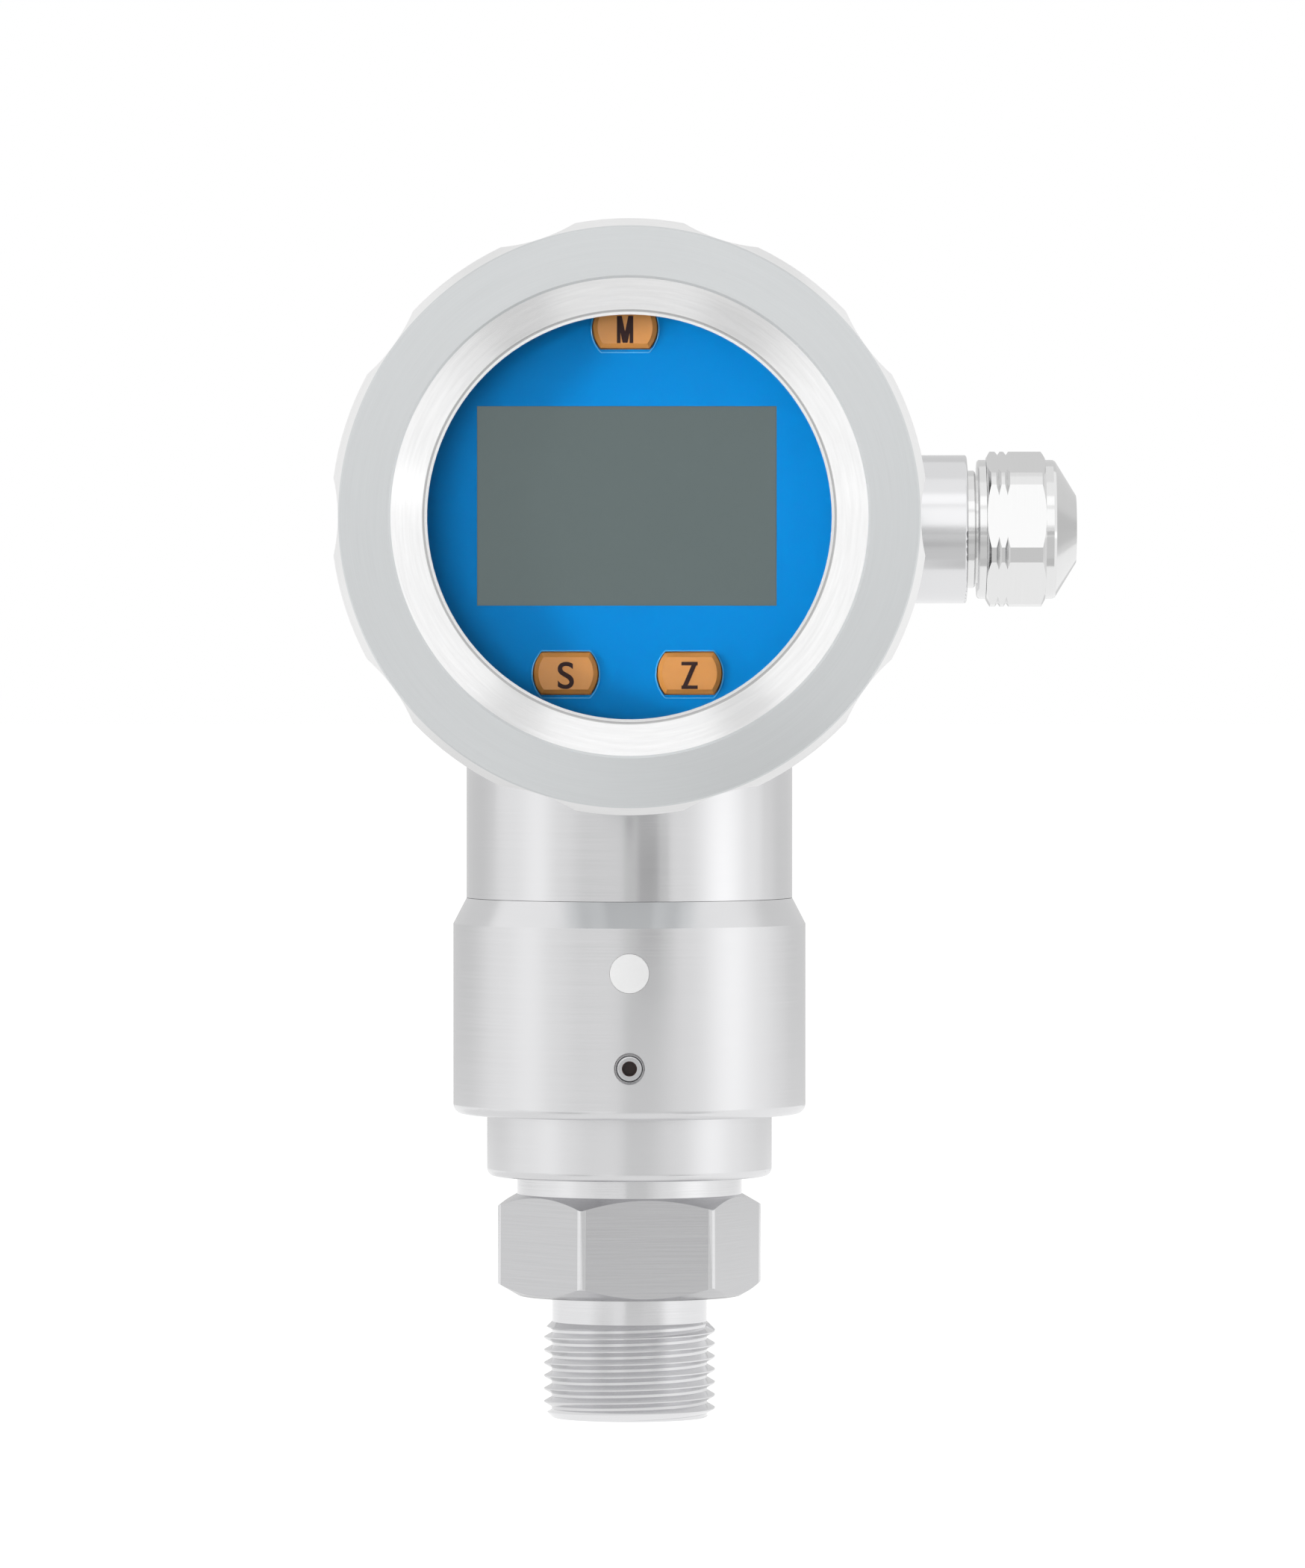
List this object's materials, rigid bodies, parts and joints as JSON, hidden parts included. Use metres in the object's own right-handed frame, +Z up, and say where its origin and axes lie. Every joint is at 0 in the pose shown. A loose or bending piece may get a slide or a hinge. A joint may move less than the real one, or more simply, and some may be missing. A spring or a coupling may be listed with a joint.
{
  "type": "pressure transmitter",
  "caption": "Round-headed pressure transmitter: screw-on windowed cover over a display with push keys, side cable gland, turned stem and male process thread.",
  "frame": {"origin": "centre of the process thread's end face, at the mouth of the pressure port", "axes": "+Z up the stem to the head, the display looks along -Y, the cable gland leaves along +X"},
  "size_m": [0.0859, 0.0595, 0.1392],
  "materials": {
    "turned_steel": "fine turned stainless steel, lightly brushed round the axis",
    "hex_steel": "milled and turned stainless steel with fine tool lines",
    "cover_steel": "matt turned rim with a bright conical bezel",
    "nickel": "bright nickel plate on brass",
    "screw_steel": "plain machine-screw steel",
    "cell_steel": "ground stainless steel",
    "white_plastic": "matt white",
    "face_blue": "smooth blue moulding",
    "lcd_grey": "blank grey display glass in a thin frame",
    "key_amber": "amber moulded caps with a dark single letter",
    "window": "clear flat glass",
    "rubber_black": "black nitrile rubber",
    "board_green": "green solder mask",
    "terminal_plastic": "green moulded terminal body",
    "dark_plastic": "black moulded plastic",
    "brass_parts": "plain brass",
    "ribbon_grey": "grey flat ribbon",
    "nylon": "natural nylon"
  },
  "bodies": {
    "stem": {"process_connection": "hex_steel", "sensor_body": "turned_steel", "grub_screw": "screw_steel", "vent_disc": "white_plastic", "pressure_cell": "cell_steel", "cell_o_ring": "rubber_black", "cell_clamp_ring": "cell_steel", "cell_pins": "brass_parts", "amplifier_spacers": "brass_parts", "amplifier_board": "board_green", "sensor_lead": "rubber_black"},
    "head": {"housing": "turned_steel", "neck_o_ring": "rubber_black", "cover_o_ring": "rubber_black", "rear_pillars": "brass_parts", "main_board": "board_green", "terminal_block": "terminal_plastic", "terminal_screws": "screw_steel", "lead_socket": "dark_plastic", "display_pillars": "brass_parts", "display_ribbon": "ribbon_grey", "display_board": "board_green", "key_switches": "dark_plastic", "lcd": "lcd_grey", "face_plate": "face_blue", "face_screws": "screw_steel", "gland_body": "nickel", "boss_o_ring": "rubber_black", "gland_seal": "rubber_black"},
    "window": {"window_glass": "window", "window_gasket": "rubber_black"},
    "cover": {"front_cover": "cover_steel", "window_retaining_ring": "cover_steel"},
    "mode_key": {"key_m": "key_amber"},
    "shift_key": {"key_s": "key_amber"},
    "zero_key": {"key_z": "key_amber"},
    "nut_slider": {"gland_thrust_ring": "nylon"},
    "dome_nut": {"gland_nut": "nickel"}
  },
  "joints": [
    {"name": "head_swivel", "type": "hinge", "parent": "stem", "child": "head", "pos_m": [0, 0, 0.0498], "axis": [0, 0, 1], "range_deg": [-165, 165]},
    {"name": "cover_advance", "type": "slide", "parent": "head", "child": "window", "axis": [0, -1, 0], "range_m": [0, 0.006]},
    {"name": "cover_turn", "type": "hinge", "parent": "window", "child": "cover", "pos_m": [0, -0.029, 0.1052], "axis": [0, -1, 0], "range_deg": [0, 1440]},
    {"name": "nut_advance", "type": "slide", "parent": "head", "child": "nut_slider", "axis": [1, 0, 0], "range_m": [0, 0.006]},
    {"name": "nut_turn", "type": "hinge", "parent": "nut_slider", "child": "dome_nut", "pos_m": [0.047, 0, 0.1039], "axis": [1, 0, 0], "range_deg": [0, 1440]},
    {"name": "mode_key_press", "type": "slide", "parent": "head", "child": "mode_key", "axis": [0, 1, 0], "range_m": [0, 0.0008], "stiffness_N_per_m": 1500},
    {"name": "shift_key_press", "type": "slide", "parent": "head", "child": "shift_key", "axis": [0, 1, 0], "range_m": [0, 0.0008], "stiffness_N_per_m": 1500},
    {"name": "zero_key_press", "type": "slide", "parent": "head", "child": "zero_key", "axis": [0, 1, 0], "range_m": [0, 0.0008], "stiffness_N_per_m": 1500}
  ],
  "couplings": [
    {"joint": "cover_advance", "follows": "cover_turn", "m_per_rad": 0.00023873},
    {"joint": "nut_turn", "follows": "nut_advance", "rad_per_m": 4188.8}
  ]
}
